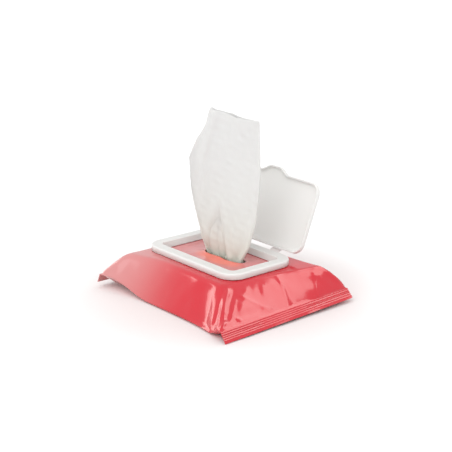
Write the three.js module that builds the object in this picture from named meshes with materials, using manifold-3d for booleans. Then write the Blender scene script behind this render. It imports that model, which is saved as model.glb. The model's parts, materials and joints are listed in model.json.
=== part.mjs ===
// Wet wipes pack: a flow-wrapped film pouch with a stack of interfolded wet wipes inside, a moulded
// frame glued on top round the die-cut slot, and a flip lid on two living-hinge straps.
// Millimetres, +Z up. X runs from seal to seal, -Y is the lid's thumb side, +Y its hinge side.
// The origin is on the table under the middle of the pack. The lid is modelled open.
import * as THREE from 'three';
import { mergeVertices } from 'three/addons/utils/BufferGeometryUtils.js';
import Module from 'manifold-3d';

const wasm = await Module();
wasm.setup();

// ---- Driving dimensions ----

const fit = 0.3; // gap kept between pieces that touch on the real pack

const pouch = {
  wall: 0.5, // film, thickened from about 0.08 so that it is a sound solid
  filmLevel: 25, // height of the flat top that carries the frame
  midHalfWidth: 51.5, // side edge to centre line, half way along
  endFlare: 6, // how much wider each side edge is at the seals
  frontRoot: { x: 63.2, skew: -0.041, z: 7.8, tilt: 0.015 }, // where the front crimp starts
  rearRoot: { x: -65.6, skew: 0, z: 9.8, tilt: 0 },
  finLength: 8, // crimped seal, root to cut edge
  frontFinDroop: { nearSide: 55, farSide: 46 }, // degrees below level
  rearFinDroop: { nearSide: 54, farSide: 52 },
  sideEdgeHeight: 1.2, // the side edge almost lies on the table
  rise: { rearFrom: -17, rearTo: -60, frontFrom: 49, frontTo: 65 }, // and lifts towards the seals
  nearShoulder: -33.6, // edges of the flat top
  farShoulder: 39.5,
  frontShoulder: { x: 43.5, skew: 0.19 }, // the load sits a little askew, so the front slope is too
  rearShoulder: -54,
  undersideSlope: { front: 0.75, rear: 1.25, side: 0.9 },
  upperCrease: 1.6, // softness of the creases between faces
  lowerCrease: 0.8,
  rows: 24, // stations from seal to seal
  columns: 22, // stations from side to side
};

const top = { x: -7.5, y: 1.75 }; // centre of the frame over the pouch

const slot = { x: top.x + 3.5, y: top.y + 2.6, halfLength: 19, halfWidth: 4.8 };

const frame = {
  halfLength: 46.3,
  halfWidth: 29,
  cornerRadius: 12,
  endBand: 8.4, // width of the band at the short sides
  sideBand: 8.8, // and at the long sides
  windowRadius: 3,
  height: 4.2,
  edgeRadius: 1.1,
};

const lid = {
  halfLength: 46,
  backGap: 2.2, // hinge axis to the lid's back wall
  reach: 51.9, // hinge axis to its free edge
  cornerRadius: 8.2,
  depth: 3.4,
  plate: 1.2,
  skirt: 1.2,
  edgeRadius: 0.8,
  tabHeight: 4.2,
  tabHalfWidth: 10.5,
  openAngle: 112, // from closed to standing open against its stop
};

const strap = { offset: 23, width: 9, thickness: 0.5 };

const stack = {
  x: -8.5,
  y: 2.5,
  count: 18,
  halfLength: 45, // a 180 sheet doubled over
  halfWidth: 35.5, // folded to a V from a 150 sheet
  topLevel: 22.2,
  pitch: 0.56, // layer to layer
  layer: 0.34, // one doubled layer of wet nonwoven
};

const hinge = {
  y: top.y + frame.halfWidth + 0.9,
  z: pouch.filmLevel + fit + frame.height - 0.4,
};

// ---- Materials ----

const film = new THREE.MeshStandardMaterial({ color: '#e0525c', roughness: 0.28, metalness: 0 });
const whitePlastic = new THREE.MeshStandardMaterial({ color: '#ecebe9', roughness: 0.42, metalness: 0 });
const nonwoven = new THREE.MeshStandardMaterial({ color: '#f1f1ef', roughness: 0.95, metalness: 0 });

// ---- Helpers ----

const degrees = Math.PI / 180;

function smoothStep(from, to, value) {
  const share = Math.min(1, Math.max(0, (value - from) / (to - from)));
  return share * share * (3 - 2 * share);
}

// The lowest of several heights, rounded where they cross.
function softLowest(heights, softness) {
  const least = Math.min(...heights);
  const sum = heights.reduce((total, z) => total + Math.exp((least - z) / softness), 0);
  return least - softness * Math.log(sum);
}

function softHighest(heights, softness) {
  return -softLowest(heights.map((z) => -z), softness);
}

function geometryFrom(points, triangles) {
  const geometry = new THREE.BufferGeometry();
  geometry.setAttribute('position', new THREE.Float32BufferAttribute(points.flat(), 3));
  geometry.setIndex(triangles.flat());
  return geometry;
}

// Skins a row of loops that all have the same number of points. The row closes on itself, or its
// two ends are capped with a fan round each loop's middle. Loops run anticlockwise seen from the
// side that the row advances towards.
function skinLoops(loops, closesOnItself) {
  const count = loops[0].length;
  const points = loops.flat();
  const triangles = [];
  const spans = closesOnItself ? loops.length : loops.length - 1;
  for (let row = 0; row < spans; row += 1) {
    const low = row * count;
    const high = ((row + 1) % loops.length) * count;
    for (let i = 0; i < count; i += 1) {
      const next = (i + 1) % count;
      triangles.push([low + i, low + next, high + next], [low + i, high + next, high + i]);
    }
  }
  if (!closesOnItself) {
    capLoop(points, triangles, 0, count, true);
    capLoop(points, triangles, (loops.length - 1) * count, count, false);
  }
  return geometryFrom(points, triangles);
}

function capLoop(points, triangles, first, count, faceBack) {
  const loop = points.slice(first, first + count);
  const middle = [0, 1, 2].map((axis) => loop.reduce((sum, p) => sum + p[axis], 0) / count);
  const centre = points.push(middle) - 1;
  for (let i = 0; i < count; i += 1) {
    const a = first + i;
    const b = first + ((i + 1) % count);
    triangles.push(faceBack ? [centre, b, a] : [centre, a, b]);
  }
}

// A closed body between two sheets of points on the same grid, with a wall round the rim.
function skinSheets(upper, lower) {
  const rows = upper.length;
  const columns = upper[0].length;
  const points = [...upper.flat(), ...lower.flat()];
  const under = rows * columns;
  const at = (row, column) => row * columns + column;
  const triangles = [];
  const quad = (a, b, c, d) => triangles.push([a, b, c], [a, c, d]);
  for (let i = 0; i < rows - 1; i += 1) {
    for (let j = 0; j < columns - 1; j += 1) {
      const [a, b, c, d] = [at(i, j), at(i + 1, j), at(i + 1, j + 1), at(i, j + 1)];
      const towardsCorner = (i < rows / 2) === (j < columns / 2); // splits quads along the hips
      if (towardsCorner) {
        quad(a, b, c, d);
        quad(under + a, under + d, under + c, under + b);
      } else {
        quad(b, c, d, a);
        quad(under + d, under + c, under + b, under + a);
      }
    }
    const last = columns - 1;
    quad(at(i, 0), under + at(i, 0), under + at(i + 1, 0), at(i + 1, 0));
    quad(at(i, last), at(i + 1, last), under + at(i + 1, last), under + at(i, last));
  }
  for (let j = 0; j < columns - 1; j += 1) {
    const end = rows - 1;
    quad(at(0, j), at(0, j + 1), under + at(0, j + 1), under + at(0, j));
    quad(at(end, j), under + at(end, j), under + at(end, j + 1), at(end, j + 1));
  }
  return geometryFrom(points, triangles);
}

function toSolid(geometry) {
  const bare = geometry.clone();
  bare.deleteAttribute('normal');
  bare.deleteAttribute('uv');
  const merged = mergeVertices(bare, 1e-4);
  return new wasm.Manifold(new wasm.Mesh({
    numProp: 3,
    vertProperties: new Float32Array(merged.attributes.position.array),
    triVerts: new Uint32Array(merged.index.array),
  }));
}

function fromSolid(solid) {
  const mesh = solid.getMesh();
  const geometry = new THREE.BufferGeometry();
  geometry.setAttribute('position', new THREE.Float32BufferAttribute(mesh.vertProperties, 3));
  geometry.setIndex(Array.from(mesh.triVerts));
  return geometry;
}

function addPiece(parent, name, geometry, material) {
  geometry.computeVertexNormals();
  const piece = new THREE.Mesh(geometry, material);
  piece.name = name;
  parent.add(piece);
  return piece;
}

// ---- Film pouch ----

// Where a crimp starts, at a distance y across the pouch: the film sags more at one side.
function rootPoint(root, y) {
  return { x: root.x + root.skew * y, z: root.z + root.tilt * y };
}

function halfWidthAt(share) {
  return pouch.midHalfWidth + pouch.endFlare * Math.abs(2 * share - 1) ** 3;
}

// The side edge, where the upper film turns under, rises from the table to meet each crimp.
function sideEdgeHeight(x, y) {
  const { rise, sideEdgeHeight: low } = pouch;
  const rear = (rootPoint(pouch.rearRoot, y).z - low) * smoothStep(rise.rearFrom, rise.rearTo, x);
  const front = (rootPoint(pouch.frontRoot, y).z - low) * smoothStep(rise.frontFrom, rise.frontTo, x);
  return low + rear + front;
}

// The upper film is a flat top with a sloping face to each seal and to each side edge.
function upperFilm(x, y, halfWidth) {
  const front = rootPoint(pouch.frontRoot, y);
  const rear = rootPoint(pouch.rearRoot, y);
  const edge = sideEdgeHeight(x, y);
  const shoulder = y < 0 ? -pouch.nearShoulder : pouch.farShoulder;
  const frontShoulder = pouch.frontShoulder.x + pouch.frontShoulder.skew * y;
  const frontSlope = (pouch.filmLevel - front.z) / (front.x - frontShoulder);
  const rearSlope = (pouch.filmLevel - pouch.rearRoot.z) / (pouch.rearShoulder - pouch.rearRoot.x);
  const sideSlope = (pouch.filmLevel - pouch.sideEdgeHeight) / (pouch.midHalfWidth - shoulder);
  return softLowest([
    pouch.filmLevel,
    front.z + (front.x - x) * frontSlope,
    rear.z + (x - rear.x) * rearSlope,
    edge + (halfWidth - Math.abs(y)) * sideSlope,
  ], pouch.upperCrease);
}

// The underside lies flat on the table and turns up to each seal and side edge.
function lowerFilm(x, y, halfWidth) {
  const front = rootPoint(pouch.frontRoot, y);
  const rear = rootPoint(pouch.rearRoot, y);
  const edge = sideEdgeHeight(x, y);
  const flatness = 0.02; // takes the last trace of the rounding off the flat middle
  return Math.max(0, softHighest([
    0,
    front.z - (front.x - x) * pouch.undersideSlope.front,
    rear.z - (x - rear.x) * pouch.undersideSlope.rear,
    edge - (halfWidth - Math.abs(y)) * pouch.undersideSlope.side,
  ], pouch.lowerCrease) - flatness);
}

// One point of the plan, with the heights of both films there. inset shrinks the hollow inside.
function filmPair(row, column, inset) {
  const share = (1 - Math.cos((Math.PI * row) / pouch.rows)) / 2;
  const across = Math.sin((Math.PI / 2) * ((2 * column) / pouch.columns - 1));
  const halfWidth = halfWidthAt(share);
  const y = across * halfWidth;
  const front = rootPoint(pouch.frontRoot, y).x;
  const rear = rootPoint(pouch.rearRoot, y).x;
  const x = rear + (front - rear) * share;
  const high = upperFilm(x, y, halfWidth);
  const low = lowerFilm(x, y, halfWidth);
  const middle = (high + low) / 2;
  const edgeHalf = pouch.wall / 2;
  const half = Math.hypot(Math.max(0, (high - low) / 2), edgeHalf);
  const offset = inset * steepness(x, y, halfWidth);
  return {
    upper: [x, y, middle + half - offset],
    lower: [x, y, Math.max(0, middle - half) + offset],
  };
}

// How much longer the film's thickness is when it is measured straight down.
function steepness(x, y, halfWidth) {
  const step = 0.5;
  const alongX = (upperFilm(x + step, y, halfWidth) - upperFilm(x - step, y, halfWidth)) / (2 * step);
  const alongY = (upperFilm(x, y + step, halfWidth) - upperFilm(x, y - step, halfWidth)) / (2 * step);
  return Math.hypot(1, alongX, alongY);
}

// A crimped seal: both films welded into one strip that droops from its root.
function finRow(root, outward, droop, column, distance) {
  const across = Math.sin((Math.PI / 2) * ((2 * column) / pouch.columns - 1));
  const y = across * halfWidthAt(0);
  const start = rootPoint(root, y);
  const angle = degrees * THREE.MathUtils.lerp(droop.nearSide, droop.farSide, (across + 1) / 2);
  const x = start.x + outward * distance * Math.cos(angle);
  const z = start.z - distance * Math.sin(angle);
  const half = pouch.wall / 2;
  const lean = outward * Math.sin(angle) * half;
  const rise = Math.cos(angle) * half;
  return { upper: [x + lean, y, z + rise], lower: [x - lean, y, z - rise] };
}

function pouchOuter() {
  const upper = [];
  const lower = [];
  const pushRow = (pairAt) => {
    const pairs = Array.from({ length: pouch.columns + 1 }, (_, column) => pairAt(column));
    upper.push(pairs.map((pair) => pair.upper));
    lower.push(pairs.map((pair) => pair.lower));
  };
  const fin = pouch.finLength;
  pushRow((column) => finRow(pouch.rearRoot, -1, pouch.rearFinDroop, column, fin));
  pushRow((column) => finRow(pouch.rearRoot, -1, pouch.rearFinDroop, column, fin / 2));
  for (let row = 0; row <= pouch.rows; row += 1) {
    pushRow((column) => filmPair(row, column, 0));
  }
  pushRow((column) => finRow(pouch.frontRoot, 1, pouch.frontFinDroop, column, fin / 2));
  pushRow((column) => finRow(pouch.frontRoot, 1, pouch.frontFinDroop, column, fin));
  return skinSheets(upper, lower);
}

// The hollow follows the outer film one wall inside it, and stops short of the folded edges.
function pouchHollow() {
  const rim = 2; // rows and columns left solid at the edges
  const upper = [];
  const lower = [];
  for (let row = rim; row <= pouch.rows - rim; row += 1) {
    const pairs = [];
    for (let column = rim; column <= pouch.columns - rim; column += 1) {
      pairs.push(filmPair(row, column, pouch.wall));
    }
    upper.push(pairs.map((pair) => pair.upper));
    lower.push(pairs.map((pair) => pair.lower));
  }
  return skinSheets(upper, lower);
}

// The die-cut slot, a straight-sided oval, as a cutter that passes through the top film.
function slotCutter() {
  const shape = new THREE.Shape();
  const straight = slot.halfLength - slot.halfWidth;
  shape.absarc(straight, 0, slot.halfWidth, -Math.PI / 2, Math.PI / 2, false);
  shape.absarc(-straight, 0, slot.halfWidth, Math.PI / 2, Math.PI * 1.5, false);
  const depth = 3;
  const cutter = new THREE.ExtrudeGeometry(shape, { depth, bevelEnabled: false, curveSegments: 10 });
  return cutter.translate(slot.x, slot.y, pouch.filmLevel - depth / 2);
}

function pouchGeometry() {
  const shell = toSolid(pouchOuter()).subtract(toSolid(pouchHollow()));
  return fromSolid(shell.subtract(toSolid(slotCutter())));
}

// ---- Lid frame ----

// A rounded rectangle as a loop of points, anticlockwise seen from above.
function roundedLoop(halfX, halfY, radius, z, steps = 6) {
  const corners = [[1, 1], [-1, 1], [-1, -1], [1, -1]];
  return corners.flatMap(([signX, signY], quarter) => Array.from({ length: steps + 1 }, (_, i) => {
    const angle = (quarter + i / steps) * (Math.PI / 2);
    const x = signX * (halfX - radius) + radius * Math.cos(angle);
    const y = signY * (halfY - radius) + radius * Math.sin(angle);
    return [x, y, z];
  }));
}

function frameGeometry() {
  const { halfLength, halfWidth, cornerRadius, endBand, sideBand, windowRadius, height } = frame;
  const outer = (inset, z) => roundedLoop(halfLength - inset, halfWidth - inset, cornerRadius - inset, z);
  const inner = (inset, z) => roundedLoop(
    halfLength - endBand + inset, halfWidth - sideBand + inset, windowRadius + inset, z,
  );
  const loops = [outer(0, 0)];
  const steps = 3;
  for (let i = 0; i <= steps; i += 1) {
    const angle = (i / steps) * (Math.PI / 2);
    loops.push(outer(
      frame.edgeRadius * (1 - Math.cos(angle)),
      height - frame.edgeRadius * (1 - Math.sin(angle)),
    ));
  }
  const windowEdge = 0.5;
  loops.push(inner(windowEdge, height), inner(0, height - windowEdge), inner(0, 0));
  return skinLoops(loops, true);
}

// ---- Lid ----

// The lid's outline in its closed place, seen from above, with the hinge axis at the origin. The
// free edge swells into a thumb tab with a soft shoulder each side.
function lidLoop(inset, z) {
  const halfDepth = (lid.reach - lid.backGap) / 2;
  const centreY = -(lid.reach + lid.backGap) / 2;
  const radius = lid.cornerRadius - inset;
  const loop = roundedLoop(lid.halfLength - inset, halfDepth - inset, radius, z);
  const steps = 14;
  const tabEdge = Array.from({ length: steps + 1 }, (_, i) => {
    const x = ((2 * i) / steps - 1) * lid.tabHalfWidth * 1.5;
    return [x, -(halfDepth - inset) - tabSwell(x), z];
  });
  const thirdCornerEnd = loop.length * 0.75;
  loop.splice(thirdCornerEnd, 0, ...tabEdge);
  return loop.map(([x, y, height]) => [x, y + centreY, height]);
}

function tabSwell(x) {
  return lid.tabHeight * (1 - smoothStep(lid.tabHalfWidth * 0.35, lid.tabHalfWidth * 1.3, Math.abs(x)));
}

// A shallow tray, open side down: plate on top, skirt all round.
function lidGeometry() {
  const floor = 0.7; // skirt's rim above the hinge axis when the lid is closed
  const ceiling = floor + lid.depth;
  const loops = [lidLoop(lid.skirt, ceiling - lid.plate), lidLoop(lid.skirt, floor), lidLoop(0, floor)];
  const steps = 3;
  for (let i = 0; i <= steps; i += 1) {
    const angle = (i / steps) * (Math.PI / 2);
    loops.push(lidLoop(
      lid.edgeRadius * (1 - Math.cos(angle)),
      ceiling - lid.edgeRadius * (1 - Math.sin(angle)),
    ));
  }
  return skinLoops(loops, false);
}

// ---- Living-hinge straps ----

// A thin web in the lid's open place, from the frame's back wall to the lid's back wall, with the
// hinge axis at the origin.
function strapGeometry() {
  const open = lid.openAngle * degrees;
  const out = new THREE.Vector2(-Math.cos(open), Math.sin(open)); // away from the axis, along the lid
  const back = new THREE.Vector2(Math.sin(open), Math.cos(open)); // square to the lid, off its back
  const lidEnd = out.clone().multiplyScalar(lid.backGap - fit - strap.thickness / 2)
    .add(back.clone().multiplyScalar(2.6));
  const frameEnd = new THREE.Vector2(-0.9 + fit + strap.thickness / 2, -1.8);
  const elbow = new THREE.Vector2(frameEnd.x + 0.2, -0.5);
  const path = [frameEnd, elbow, lidEnd];
  const side = (sign) => path.map((point, i) => {
    const before = path[Math.max(0, i - 1)];
    const after = path[Math.min(path.length - 1, i + 1)];
    const along = after.clone().sub(before).normalize();
    const across = new THREE.Vector2(-along.y, along.x).multiplyScalar((sign * strap.thickness) / 2);
    return point.clone().add(across);
  });
  const shape = new THREE.Shape([...side(-1), ...side(1).reverse()]);
  const geometry = new THREE.ExtrudeGeometry(shape, { depth: strap.width, bevelEnabled: false });
  const toYZ = new THREE.Matrix4().set(0, 0, 1, -strap.width / 2, 1, 0, 0, 0, 0, 1, 0, 0, 0, 0, 0, 1);
  return geometry.applyMatrix4(toYZ);
}

// ---- Wipes ----

// An interfolded wipe is a V lying on its side. Its fold takes in one panel of each neighbour, and
// folds alternate left and right down the stack. Each layer is the sheet doubled over.
function foldedWipeGeometry(index) {
  const bendRadius = 1.5 * stack.pitch;
  const outer = bendRadius + stack.layer / 2;
  const inner = bendRadius - stack.layer / 2;
  const foldCentre = stack.halfWidth - outer;
  const freeEnd = -(foldCentre - 0.4);
  const shape = new THREE.Shape();
  shape.moveTo(freeEnd, outer);
  shape.absarc(foldCentre, 0, outer, Math.PI / 2, -Math.PI / 2, true);
  shape.lineTo(freeEnd, -outer);
  shape.lineTo(freeEnd, -inner);
  shape.absarc(foldCentre, 0, inner, -Math.PI / 2, Math.PI / 2, false);
  shape.lineTo(freeEnd, inner);
  const depth = 2 * stack.halfLength;
  const geometry = new THREE.ExtrudeGeometry(shape, { depth, bevelEnabled: false, curveSegments: 5 });
  const side = index % 2 === 0 ? 1 : -1;
  const middle = stack.topLevel - stack.layer / 2 - (2 * index + 1.5) * stack.pitch;
  const toYZ = new THREE.Matrix4().set(
    0, 0, side, -side * stack.halfLength + stack.x,
    side, 0, 0, stack.y,
    0, 1, 0, middle,
    0, 0, 0, 1,
  );
  return geometry.applyMatrix4(toYZ);
}

// The pulled wipe's outline above the film: for each height, its left and right edges along its own
// width and how thick the gathered sheet is there.
const pulledStations = [
  { z: 22.8, left: -16, right: 14, depth: 2.2, turn: 2 },
  { z: 26, left: -16.5, right: 15, depth: 3.4, turn: 4 },
  { z: 36, left: -19.5, right: 20, depth: 5.5, turn: 10 },
  { z: 55, left: -23, right: 24.5, depth: 6, turn: 16 },
  { z: 80, left: -26.5, right: 26.5, depth: 6, turn: 20 },
  { z: 93, left: -27.5, right: 26.5, depth: 5.5, turn: 22 },
  { z: 108, left: -21.5, right: 25, depth: 4.5, turn: 24 },
  { z: 118, left: -15, right: 24.2, depth: 3, turn: 25 },
  { z: 129, left: -12, right: -4, depth: 1.2, turn: 25 },
];

function pulledWipeGeometry() {
  const sides = 20;
  const loops = pulledStations.map((station) => Array.from({ length: sides }, (_, i) => {
    const angle = (i / sides) * Math.PI * 2;
    const turn = station.turn * degrees;
    const along = THREE.MathUtils.lerp(station.left, station.right, (1 + Math.cos(angle)) / 2);
    const across = station.depth * Math.sin(angle);
    const x = along * Math.cos(turn) - across * Math.sin(turn);
    const y = along * Math.sin(turn) + across * Math.cos(turn);
    return [slot.x + x, slot.y + y, station.z];
  }));
  const tailThickness = 0.9;
  const tailBottom = stack.topLevel + fit;
  const tail = [tailBottom, tailBottom + tailThickness].map((z) => (
    roundedLoop(38, 26, 6, z).map(([x, y]) => [stack.x + x, stack.y + y, z])
  ));
  return fromSolid(toSolid(skinLoops(loops, false)).add(toSolid(skinLoops(tail, false))));
}

// ---- Assembly ----

const pack = new THREE.Group();
addPiece(pack, 'film_pouch', pouchGeometry(), film);

const framePiece = addPiece(pack, 'lid_frame', frameGeometry(), whitePlastic);
framePiece.position.set(top.x, top.y, pouch.filmLevel + fit);

const hingeGroup = new THREE.Group();
hingeGroup.position.set(top.x, hinge.y, hinge.z);
pack.add(hingeGroup);

const lidPiece = addPiece(hingeGroup, 'lid', lidGeometry(), whitePlastic);
lidPiece.rotation.x = -lid.openAngle * degrees;

for (const [side, sign] of [['left', -1], ['right', 1]]) {
  const strapPiece = addPiece(hingeGroup, `hinge_strap_${side}`, strapGeometry(), whitePlastic);
  strapPiece.position.x = sign * strap.offset;
}

addPiece(pack, 'pulled_wipe', pulledWipeGeometry(), nonwoven);

for (let index = 0; index < stack.count; index += 1) {
  const name = `wipe_${String(index + 1).padStart(2, '0')}`;
  addPiece(pack, name, foldedWipeGeometry(index), nonwoven);
}

export default pack;
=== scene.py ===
import json
import math

import bpy
import numpy as np
from mathutils import Matrix, Vector


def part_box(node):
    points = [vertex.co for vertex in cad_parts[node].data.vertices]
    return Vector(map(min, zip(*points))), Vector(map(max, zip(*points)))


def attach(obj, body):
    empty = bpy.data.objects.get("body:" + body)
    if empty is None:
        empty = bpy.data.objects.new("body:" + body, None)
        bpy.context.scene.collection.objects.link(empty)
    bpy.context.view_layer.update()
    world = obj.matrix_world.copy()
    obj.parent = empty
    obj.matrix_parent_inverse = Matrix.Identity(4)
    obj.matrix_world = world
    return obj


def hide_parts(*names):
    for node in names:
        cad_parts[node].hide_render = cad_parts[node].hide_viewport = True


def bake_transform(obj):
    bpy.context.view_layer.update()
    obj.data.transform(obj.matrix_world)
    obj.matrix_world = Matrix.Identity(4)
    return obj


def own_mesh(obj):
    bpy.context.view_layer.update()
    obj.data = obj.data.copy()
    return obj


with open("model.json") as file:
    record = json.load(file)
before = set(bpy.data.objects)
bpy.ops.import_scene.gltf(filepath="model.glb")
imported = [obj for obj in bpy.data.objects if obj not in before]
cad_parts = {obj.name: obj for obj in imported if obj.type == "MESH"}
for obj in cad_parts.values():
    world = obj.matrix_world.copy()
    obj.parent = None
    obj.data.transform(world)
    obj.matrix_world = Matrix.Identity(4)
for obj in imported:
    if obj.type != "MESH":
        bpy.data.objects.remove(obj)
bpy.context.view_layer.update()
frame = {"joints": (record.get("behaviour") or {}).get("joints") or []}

# Shapes below are worked out in millimetres and put into meshes in metres.
millimetre = 0.001


def inMillimetres(node):
    low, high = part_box(node)
    return np.array(low) / millimetre, np.array(high) / millimetre


def smoothStep(start, end, value):
    # 0 before start, 1 after end, and a cubic ease between them
    share = np.clip((value - start) / (end - start), 0.0, 1.0)
    return share * share * (3 - 2 * share)


def softLowest(heights, softness):
    # the lowest of several height fields, rounded where they cross
    stack = np.stack(np.broadcast_arrays(*heights))
    least = stack.min(0)
    return least - softness * np.log(np.exp((least - stack) / softness).sum(0))


def softHighest(heights, softness):
    return -softLowest([-height for height in heights], softness)


def softNoise(x, y, wavelength, seed, waves=9):
    # a sum of plane waves in random directions, each within a third of the wavelength, about -1 to 1
    chance = np.random.default_rng(seed)
    headings = chance.uniform(0, math.tau, waves)
    phases = chance.uniform(0, math.tau, waves)
    stretches = chance.uniform(0.75, 1.35, waves)
    total = np.zeros(np.broadcast(x, y).shape)
    for heading, phase, stretch in zip(headings, phases, stretches):
        pace = math.tau / (wavelength * stretch)
        total += np.cos(pace * (x * math.cos(heading) + y * math.sin(heading)) + phase)
    return total / math.sqrt(waves)


def wavesOf(shape, x, y, seed):
    height, length = shape
    return height * softNoise(x, y, length, seed)


def insideBox(x, y, middle, half, ease):
    # 1 well inside a rectangle and 0 outside it, with a soft edge of the given width
    insideX = smoothStep(0, ease, half[0] - np.abs(x - middle[0]))
    return insideX * smoothStep(0, ease, half[1] - np.abs(y - middle[1]))


def runningLength(x, y):
    # how far along a path each of its points lies
    return np.concatenate([[0], np.cumsum(np.hypot(np.diff(x), np.diff(y)))])


def gridQuads(rows, columns, rowsClose=False, columnsClose=False):
    # four corner numbers for every cell of a grid of points, row after row
    row = np.arange(rows if rowsClose else rows - 1)[:, None]
    column = np.arange(columns if columnsClose else columns - 1)[None, :]
    nextRow, nextColumn = (row + 1) % rows, (column + 1) % columns
    here, below = row * columns, nextRow * columns
    return np.stack([here + column, below + column, below + nextColumn, here + nextColumn], -1).reshape(-1, 4)


def fanCap(ring, pole):
    # triangles that join each pair of neighbours in a closed ring to the point in its middle
    return np.stack([np.roll(ring, -1), ring, np.full(len(ring), pole)], -1)


def cappedTube(rings, poles):
    # a tube of rings closed by a fan of triangles at each end, whose middle points come last
    count, width = rings.shape[:2]
    ring, last = np.arange(width), (count - 1) * width
    caps = [fanCap(ring, count * width)[:, ::-1], fanCap(ring + last, count * width + 1)]
    points = np.concatenate([rings.reshape(-1, 3), poles])
    return points, gridQuads(count, width, columnsClose=True), np.concatenate(caps)


def makePiece(name, points, quads, material, smoothAngle=40, triangles=None, uv=None, values=None):
    # points are in millimetres; uv and values hold one entry for each point
    mesh = bpy.data.meshes.new(name)
    faces = quads.tolist() + ([] if triangles is None else triangles.tolist())
    mesh.from_pydata((np.asarray(points).reshape(-1, 3) * millimetre).tolist(), [], faces)
    for key, value in (values or {}).items():
        field = mesh.attributes.new(key, "FLOAT", "POINT")
        field.data.foreach_set("value", np.asarray(value, np.float32).ravel())
    if uv is not None:
        corners = np.zeros(len(mesh.loops), np.int32)
        mesh.loops.foreach_get("vertex_index", corners)
        layer = mesh.uv_layers.new(name="UVMap")
        layer.data.foreach_set("uv", np.asarray(uv, np.float32).reshape(-1, 2)[corners].ravel())
    mesh.shade_smooth()
    mesh.set_sharp_from_angle(angle=math.radians(smoothAngle))
    mesh.materials.append(material)
    piece = bpy.data.objects.new(name, mesh)
    bpy.context.scene.collection.objects.link(piece)
    return piece


def giveThickness(piece, name, thickness, offset):
    # an offset of -1 thickens inwards and 0 to both sides
    wall = piece.modifiers.new(name, "SOLIDIFY")
    wall.thickness = thickness * millimetre
    wall.offset = offset


def hexColour(code):
    # an sRGB hex code as a linear colour with full alpha
    srgb = np.array([int(code[i:i + 2], 16) / 255 for i in (1, 3, 5)])
    linear = np.where(srgb <= 0.04045, srgb / 12.92, ((srgb + 0.055) / 1.055) ** 2.4)
    return (*linear.tolist(), 1.0)


def addNode(material, kind, settings, links=None):
    # settings go to the node's own fields or its sockets, links join other nodes' outputs to its sockets
    tree = material.node_tree
    node = tree.nodes.new(kind)
    for key, value in settings.items():
        if isinstance(key, str) and hasattr(node, key):
            setattr(node, key, value)
        else:
            node.inputs[key].default_value = value
    for key, source in (links or {}).items():
        tree.links.new(source, node.inputs[key])
    return node


def emptyMaterial(name):
    material = bpy.data.materials.new(name)
    material.use_nodes = True
    material.node_tree.nodes.clear()
    return material


def addPlace(material):
    # where a point is on its object, in metres
    return addNode(material, "ShaderNodeTexCoord", {}).outputs["Object"]


def addStored(material, name):
    # a value that the mesh holds at each of its points
    return addNode(material, "ShaderNodeAttribute", {"attribute_name": name}).outputs["Fac"]


def addNoise(material, place, size, detail, settings=None):
    # cloudy noise whose blotches are about size millimetres across
    settings = {"Scale": 1 / (size * millimetre), "Detail": detail, **(settings or {})}
    return addNode(material, "ShaderNodeTexNoise", settings, {"Vector": place}).outputs["Fac"]


def addStrands(material, flat, across, along, turn=0.0):
    # noise drawn out across and along a flat sheet, in millimetres
    scale = (1 / (across * millimetre), 1 / (along * millimetre), 1.0)
    drawn = addNode(material, "ShaderNodeMapping", {"Scale": scale, "Rotation": (0.0, 0.0, turn)}, {"Vector": flat})
    noise = addNode(material, "ShaderNodeTexNoise", {"Scale": 1.0, "Detail": 3.0}, {"Vector": drawn.outputs[0]})
    return noise.outputs["Fac"]


def addRange(material, value, settings):
    # spreads a value over another range
    return addNode(material, "ShaderNodeMapRange", settings, {"Value": value}).outputs["Result"]


def addMix(material, share, low, high):
    # a colour between two, each a hex code or another node's output
    settings, links = {"data_type": "RGBA"}, {0: share}
    for socket, colour in ((6, low), (7, high)):
        if isinstance(colour, str):
            settings[socket] = hexColour(colour)
        else:
            links[socket] = colour
    return addNode(material, "ShaderNodeMix", settings, links).outputs[2]


def addRelief(material, height, strength, depth):
    # a grain in the surface, depth in millimetres
    settings = {"Strength": strength, "Distance": depth * millimetre}
    return addNode(material, "ShaderNodeBump", settings, {"Height": height}).outputs["Normal"]


def addSurface(material, settings, links):
    # the shader that the light meets, joined to the material's output
    shader = addNode(material, "ShaderNodeBsdfPrincipled", settings, links)
    addNode(material, "ShaderNodeOutputMaterial", {}, {"Surface": shader.outputs[0]})


studio = {
    "cameraTurn": 50.30,  # degrees round from straight in front of the thumb side
    "cameraRise": 18.53,
    "cameraDistance": 891.5,  # millimetres from the foot of the frame
    "lookTurn": 49.98,  # where the camera points, which is a little off the frame's centre
    "lookRise": 17.20,
    "roll": 0.17,
    "lens": 103.55,
    "floorHalf": 9000,
    # the painted shadow's colour on the paper round the pack
    "floorPaintedShade": "#eae4e3",
    "floorFar": "#ffffff",
    "floorShade": (0.06, 0.16),  # metres from the floor's middle over which the painted shadow fades and the paper turns white
    "worldStrength": 0.92,
    "skyLight": 1.25,  # a broad soft light from above the camera's left, watts a square metre
    "skyFrom": (0.30, -0.60, 0.74),
    "skySpread": 70,  # degrees across
    "boxDistance": 1.3,  # metres
    "boxColour": (1.0, 0.95, 0.90),
}
# soft boxes: direction, size in metres and power in watts
softBoxes = {
    "boxBehind": ((0.16, 0.63, 0.76), (1.15, 0.46), 5.4),  # shines in the front slope
    "boxAtLeft": ((-0.90, -0.26, 0.36), (0.5, 0.6), 3.0),  # shines in the side panel
}


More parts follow.
